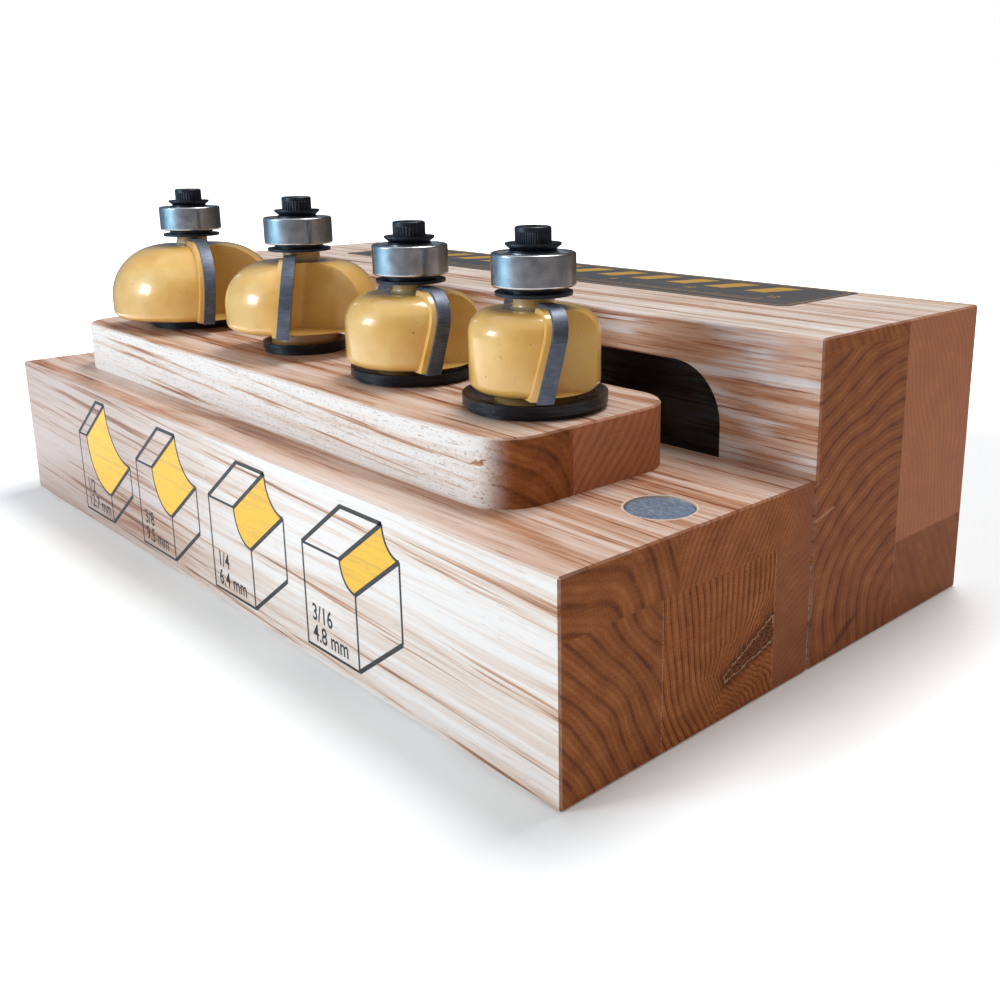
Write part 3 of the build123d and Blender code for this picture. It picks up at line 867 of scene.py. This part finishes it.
def make_panel(field, gold):
    outline = flat_mesh("lid_panel", [(0, panel_outline(0))], on_lid)
    piece("lid_panel", outline, field, "lid")
    border = panel_outline(PANEL_BORDER)
    marks = [(1, quad) for quad in stroke(border + border[:2], BORDER_LINE)]
    for x in range(-RULER_HALF, RULER_HALF + 1):
        tall = TENTH_MARK if x % 10 == 0 else FIFTH_MARK if x % 5 == 0 else UNIT_MARK
        marks += [(1, quad) for quad in stroke([(x, RULER_Y), (x, RULER_Y + tall)], RULER_LINE)]
    near, far = BAR_Y
    for x in range(-RULER_HALF, RULER_HALF, BAR_SPACING):
        left = x + (BAR_SPACING - BAR_WIDTH - BAR_LEAN) / 2
        bar = [(left, near), (left + BAR_WIDTH, near), (left + BAR_WIDTH + BAR_LEAN, far),
               (left + BAR_LEAN, far)]
        marks.append((1, [Vector(point) for point in bar]))
    piece("lid_panel_marks", flat_mesh("lid_panel_marks", marks, on_lid), gold, "lid")
    for step in range(0, 2 * RULER_HALF // BAR_SPACING + 1, 2):
        left = step * BAR_SPACING + FIGURE_LEFT
        figures = written("lid_panel_figure", str(step), FIGURE_HEIGHT, left, FIGURE_Y, on_lid)
        piece(f"lid_panel_figure_{step}", figures, gold, "lid")


# ---- camera and lamps ----
def make_camera():
    data = bpy.data.cameras.new("camera")
    data.sensor_width = SENSOR_MM
    data.lens = FOCAL_PX * SENSOR_MM / FRAME_PX
    data.shift_x = 0.5 - CENTRE_PX[0] / FRAME_PX
    data.shift_y = CENTRE_PX[1] / FRAME_PX - 0.5
    data.clip_start = 0.005
    camera = add_object("camera", data)
    camera.location = Vector(CAMERA_AT_MM) * MM
    camera.rotation_euler = Euler([math.radians(angle) for angle in CAMERA_TURN_DEG])
    bpy.context.scene.camera = camera


def make_lamp(name, direction, distance, size, level, color):
    """Soft square lamp that gives a facing white surface the level named."""
    data = bpy.data.lights.new(name, "AREA")
    data.size = size
    data.color = color
    data.energy = level * math.pi ** 2 * distance ** 2
    lamp = add_object(name, data)
    way = Vector(direction).normalized()
    lamp.location = way * distance
    lamp.rotation_euler = way.to_track_quat("Z", "Y").to_euler()


def make_world():
    """White for rays that show it; for the part, soft light that is cool left and warm right."""
    world = bpy.data.worlds.new("studio")
    bpy.context.scene.world = world
    world.use_nodes = True
    f = Tree(world.node_tree)
    seen = f.seen()
    sideways = f.split(f.coordinates("Generated"))[0]
    side = f.fade(sideways, -WORLD_SIDE, WORLD_SIDE, shape="LINEAR")
    background = world.node_tree.nodes["Background"]
    f.put(background.inputs["Strength"], f.fade(seen, 0.0, 1.0, WORLD_LEVEL, 1.0))
    f.put(background.inputs["Color"], f.mix(seen, f.mix(side, WORLD_COOL, WORLD_WARM), (1.0, 1.0, 1.0)))


def make_floor():
    """White floor that keeps the shadow near the part, and near where the lid slides."""
    mesh = bpy.data.meshes.new("floor")
    edge = FLOOR_SIZE / 2
    mesh.from_pydata([(-edge, -edge, 0), (edge, -edge, 0), (edge, edge, 0), (-edge, edge, 0)], [],
                     [(0, 1, 2, 3)])
    floor = add_object("floor", mesh)
    f = Finish("floor")
    seen = f.seen()
    x, y, _ = f.split(f.coordinates())
    slid = Vector((0, LID_SLIDE, 0))
    centre, half = (cad_low + cad_high + slid) / 2, (cad_high - cad_low + slid) / 2
    beside = f.math("MAXIMUM", f.add(f.size(f.add(x, -centre.x)), -half.x), 0.0)
    before = f.math("MAXIMUM", f.add(f.size(f.add(y, -centre.y)), -half.y), 0.0)
    glow = f.fade(f.length(beside, before), 0.0, FLOOR_WHITE_BY, FLOOR_GLOW, 1.0)
    f.set(Base_Color=FLOOR_COLOR, Roughness=0.9, Specular_IOR_Level=0.1,
          Emission_Color=(1.0, 1.0, 1.0), Emission_Strength=f.times(seen, glow))
    mesh.materials.append(f.material)


# ---- tent: soft panels about the part, seen by shiny surfaces alone ----
TENT_RADIUS = 0.26
TENT_HEIGHT = 0.34
TENT_LIFT = 0.001
TENT_SIDES = 96
TENT_LEVEL = 3.0
# Colour by angle about z from the x axis, in degrees: bluish by the window, dark at the back.
TENT_STOPS = [(-180, (0.13, 0.18, 0.26)), (-150, (0.22, 0.34, 0.50)), (-130, (0.45, 1.0, 1.4)),
              (-114, (0.60, 1.4, 1.9)), (-98, (0.50, 0.80, 1.1)), (-86, (0.34, 0.40, 0.50)),
              (-56, (0.20, 0.20, 0.23)), (-32, (0.17, 0.155, 0.16)), (-8, (0.26, 0.23, 0.235)),
              (18, (0.20, 0.18, 0.18)), (64, (0.15, 0.125, 0.11)), (102, (0.08, 0.06, 0.045)),
              (140, (0.05, 0.06, 0.09)), (180, (0.13, 0.18, 0.26))]
PANE_LEVEL = 12.0
PANE_HALF_WIDTH_DEG = 9.0
PANE_MIDDLE = 0.13
PANE_HALF_HEIGHT = 0.042


def window_pane(f, bearing_deg, z):
    """The bright window in the tent, soft at its edges."""
    aside = f.size(f.add(bearing_deg, -WINDOW_BEARING_DEG))
    apart = f.size(f.add(z, -PANE_MIDDLE))
    return f.times(f.fade(aside, PANE_HALF_WIDTH_DEG * 0.7, PANE_HALF_WIDTH_DEG * 1.2, 1.0, 0.0),
                   f.fade(apart, PANE_HALF_HEIGHT * 0.7, PANE_HALF_HEIGHT * 1.2, 1.0, 0.0))


def make_tent():
    mesh = bpy.data.meshes.new("tent")
    shape = bmesh.new()
    bmesh.ops.create_cone(shape, segments=TENT_SIDES, radius1=TENT_RADIUS, radius2=TENT_RADIUS,
                          depth=TENT_HEIGHT)
    bmesh.ops.translate(shape, verts=shape.verts, vec=(0, 0, TENT_HEIGHT / 2 + TENT_LIFT))
    shape.to_mesh(mesh)
    shape.free()
    tent = add_object("tent", mesh)
    f = Finish("tent")
    x, y, z = f.split(f.coordinates())
    bearing = f.math("DIVIDE", f.math("ARCTAN2", y, x), 2 * math.pi)
    pane = window_pane(f, f.times(bearing, 360.0), z)
    stops = [((angle + 180) / 360, tuple(part / TENT_LEVEL for part in tone))
             for angle, tone in TENT_STOPS]
    color = f.mix(pane, f.ramp(f.add(bearing, 0.5), *stops), WINDOW_COLOR)
    level = f.add(TENT_LEVEL, f.times(pane, PANE_LEVEL - TENT_LEVEL))
    glow = f.node("ShaderNodeEmission", {"Color": color, "Strength": level})
    f.put(f.tree.nodes["Material Output"].inputs["Surface"], glow.outputs[0])
    mesh.materials.append(f.material)
    for ray in ("camera", "diffuse", "transmission", "volume_scatter", "shadow"):
        setattr(tent, f"visible_{ray}", False)


def make_studio():
    make_world()
    make_floor()
    make_tent()
    bearing, rise = math.radians(WINDOW_BEARING_DEG), math.radians(WINDOW_ELEVATION_DEG)
    window = (math.cos(bearing) * math.cos(rise), math.sin(bearing) * math.cos(rise),
              math.sin(rise))
    make_lamp("window", window, WINDOW_DISTANCE, WINDOW_SIZE, WINDOW_LEVEL, WINDOW_COLOR)
    make_lamp("overhead", TOP_DIRECTION, TOP_DISTANCE, TOP_SIZE, TOP_LEVEL, TOP_COLOR)
    bpy.context.scene.view_settings.view_transform = "Standard"


make_camera()
make_studio()
finish_nodes()
dark_ink = make_ink("dark_ink", srgb(27, 33, 39), 0.10, 0.55)
yellow_ink = make_ink("yellow_ink", srgb(252, 196, 44), 0.30, 0.40)
panel_ink = make_ink("panel_ink", srgb(62, 68, 76), 0.35, 0.38)
gold_ink = make_ink("gold_ink", srgb(196, 152, 62), 0.30, 0.35)
for index in range(len(BITS)):
    make_profile(index, dark_ink, yellow_ink)
make_panel(panel_ink, gold_ink)
